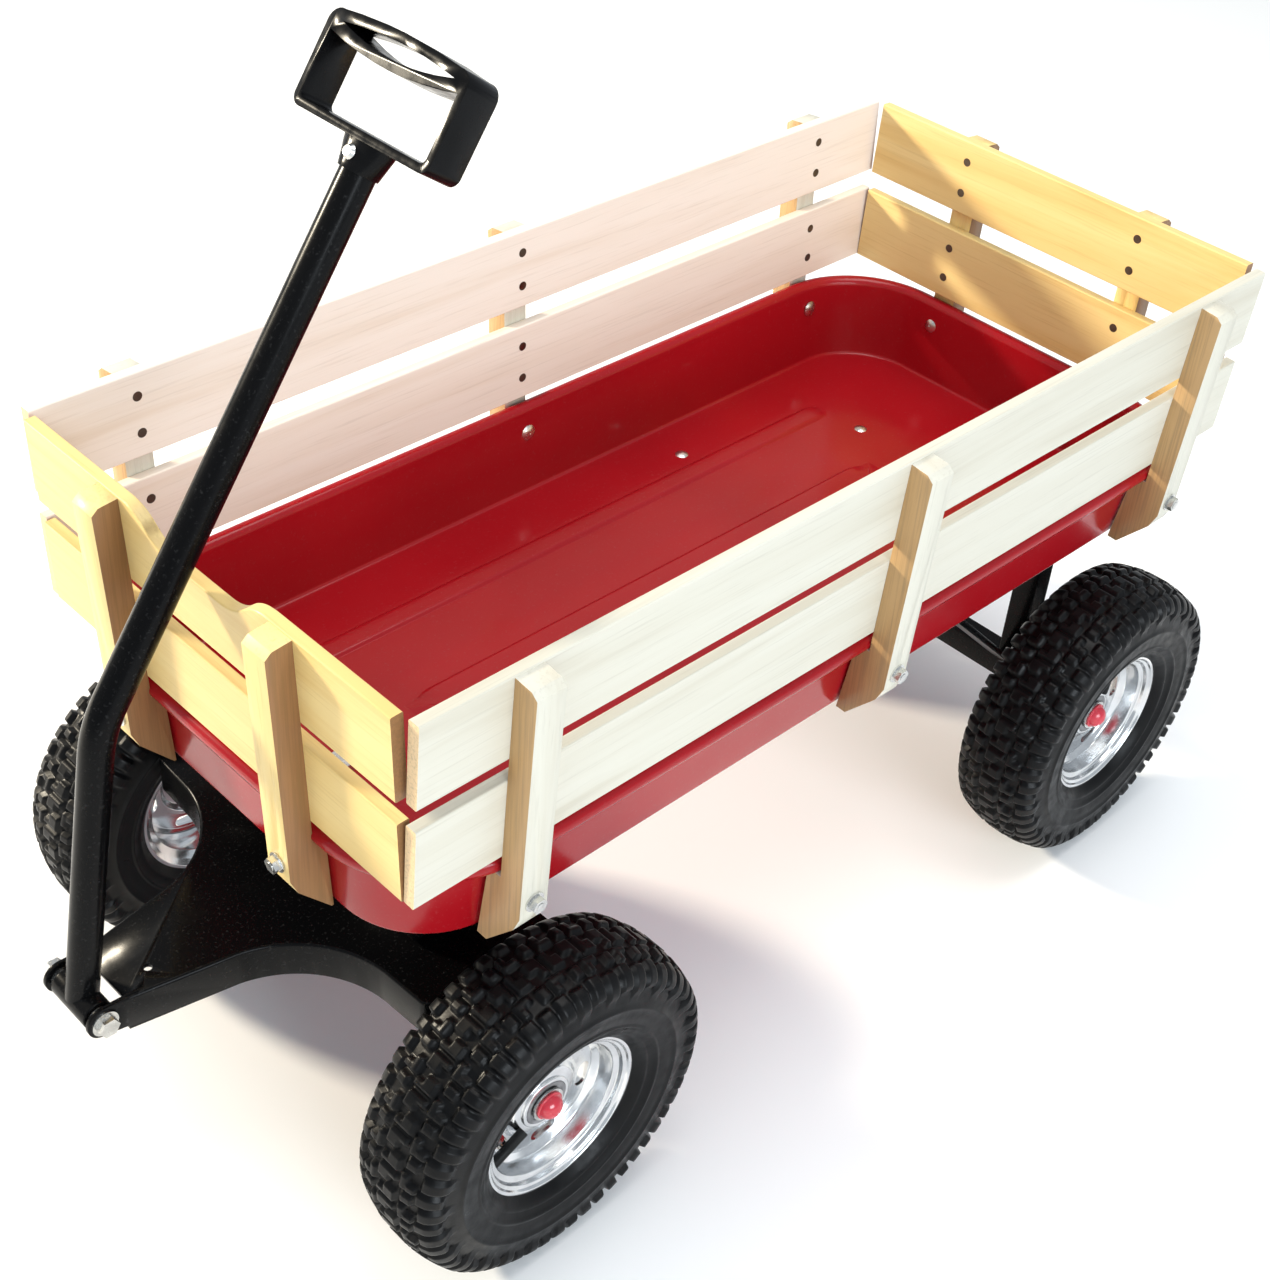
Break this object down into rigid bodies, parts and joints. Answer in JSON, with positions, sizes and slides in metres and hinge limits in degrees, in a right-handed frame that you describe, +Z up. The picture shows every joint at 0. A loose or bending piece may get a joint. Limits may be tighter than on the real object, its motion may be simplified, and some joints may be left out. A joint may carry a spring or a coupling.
{
  "type": "pull wagon",
  "caption": "Children's pull wagon: red pressed tray with slatted wooden stake sides, pneumatic wheels, a steering tongue and a swinging pull handle.",
  "frame": {"origin": "on the ground under the middle of the bounding box, with the handle leaning back in the scoop of the front board", "axes": "+X towards the handle end, +Y to the wagon's left, +Z up"},
  "size_m": [0.991, 0.4841, 0.788],
  "materials": {
    "tray_enamel": "deep red gloss enamel on pressed steel",
    "board_wood": "pale clear-finished wood",
    "stake_wood": "light brown clear-finished wood",
    "black_enamel": "gloss black powder coat",
    "zinc": "bright zinc plate",
    "axle_steel": "plain bright steel",
    "rim_zinc": "bright plated pressed steel",
    "tyre_rubber": "black moulded tyre rubber",
    "tube_rubber": "black rubber inner tube and valve",
    "bearing_steel": "ground bearing steel with dark seals",
    "cap_red": "red moulded cap",
    "wear_plastic": "plain nylon ring",
    "grip_black": "glossy black moulded grip"
  },
  "bodies": {
    "chassis": {"tray": "tray_enamel", "left_board_upper": "board_wood", "left_board_lower": "board_wood", "right_board_upper": "board_wood", "right_board_lower": "board_wood", "front_board_upper": "board_wood", "front_board_lower": "board_wood", "rear_board_upper": "board_wood", "rear_board_lower": "board_wood", "left_stake_front": "stake_wood", "left_stake_middle": "stake_wood", "left_stake_rear": "stake_wood", "right_stake_front": "stake_wood", "right_stake_middle": "stake_wood", "right_stake_rear": "stake_wood", "front_stake_left": "stake_wood", "front_stake_right": "stake_wood", "rear_stake_left": "stake_wood", "rear_stake_right": "stake_wood", "board_screws": "zinc", "stake_bolts": "zinc", "stake_nuts": "zinc", "floor_bolts": "zinc", "floor_nuts": "zinc", "rear_axle_frame": "black_enamel", "rear_axle": "axle_steel", "rear_axle_washers": "zinc", "rear_axle_caps": "cap_red", "front_bolster": "black_enamel", "kingpin": "zinc", "kingpin_nut": "zinc", "wear_ring": "wear_plastic"},
    "steering": {"tongue_plate": "black_enamel", "front_axle_frame": "black_enamel", "front_axle": "axle_steel", "front_axle_washers": "zinc", "front_axle_caps": "cap_red", "pivot_bolt": "zinc", "pivot_nut": "zinc", "pivot_washers": "zinc", "pivot_spacers": "zinc"},
    "handle": {"handle_tube": "black_enamel", "grip": "grip_black", "grip_rivet": "zinc"},
    "front_left_wheel": {"front_left_tyre": "tyre_rubber", "front_left_rim": "rim_zinc", "front_left_inner_tube": "tube_rubber", "front_left_bearings": "bearing_steel"},
    "front_right_wheel": {"front_right_tyre": "tyre_rubber", "front_right_rim": "rim_zinc", "front_right_inner_tube": "tube_rubber", "front_right_bearings": "bearing_steel"},
    "rear_left_wheel": {"rear_left_tyre": "tyre_rubber", "rear_left_rim": "rim_zinc", "rear_left_inner_tube": "tube_rubber", "rear_left_bearings": "bearing_steel"},
    "rear_right_wheel": {"rear_right_tyre": "tyre_rubber", "rear_right_rim": "rim_zinc", "rear_right_inner_tube": "tube_rubber", "rear_right_bearings": "bearing_steel"}
  },
  "joints": [
    {"name": "steer", "type": "hinge", "parent": "chassis", "child": "steering", "pos_m": [0.26871, 0, 0.2175], "axis": [0, 0, 1], "range_deg": [-15, 15]},
    {"name": "handle_swing", "type": "hinge", "parent": "steering", "child": "handle", "pos_m": [0.4835, 0, 0.209], "axis": [0, 1, 0], "range_deg": [0, 130]},
    {"name": "front_left_roll", "type": "hinge", "parent": "steering", "child": "front_left_wheel", "pos_m": [0.26871, 0.202, 0.129], "axis": [0, 1, 0], "continuous": true},
    {"name": "front_right_roll", "type": "hinge", "parent": "steering", "child": "front_right_wheel", "pos_m": [0.26871, -0.202, 0.129], "axis": [0, 1, 0], "continuous": true},
    {"name": "rear_left_roll", "type": "hinge", "parent": "chassis", "child": "rear_left_wheel", "pos_m": [-0.36129, 0.202, 0.129], "axis": [0, 1, 0], "continuous": true},
    {"name": "rear_right_roll", "type": "hinge", "parent": "chassis", "child": "rear_right_wheel", "pos_m": [-0.36129, -0.202, 0.129], "axis": [0, 1, 0], "continuous": true}
  ]
}
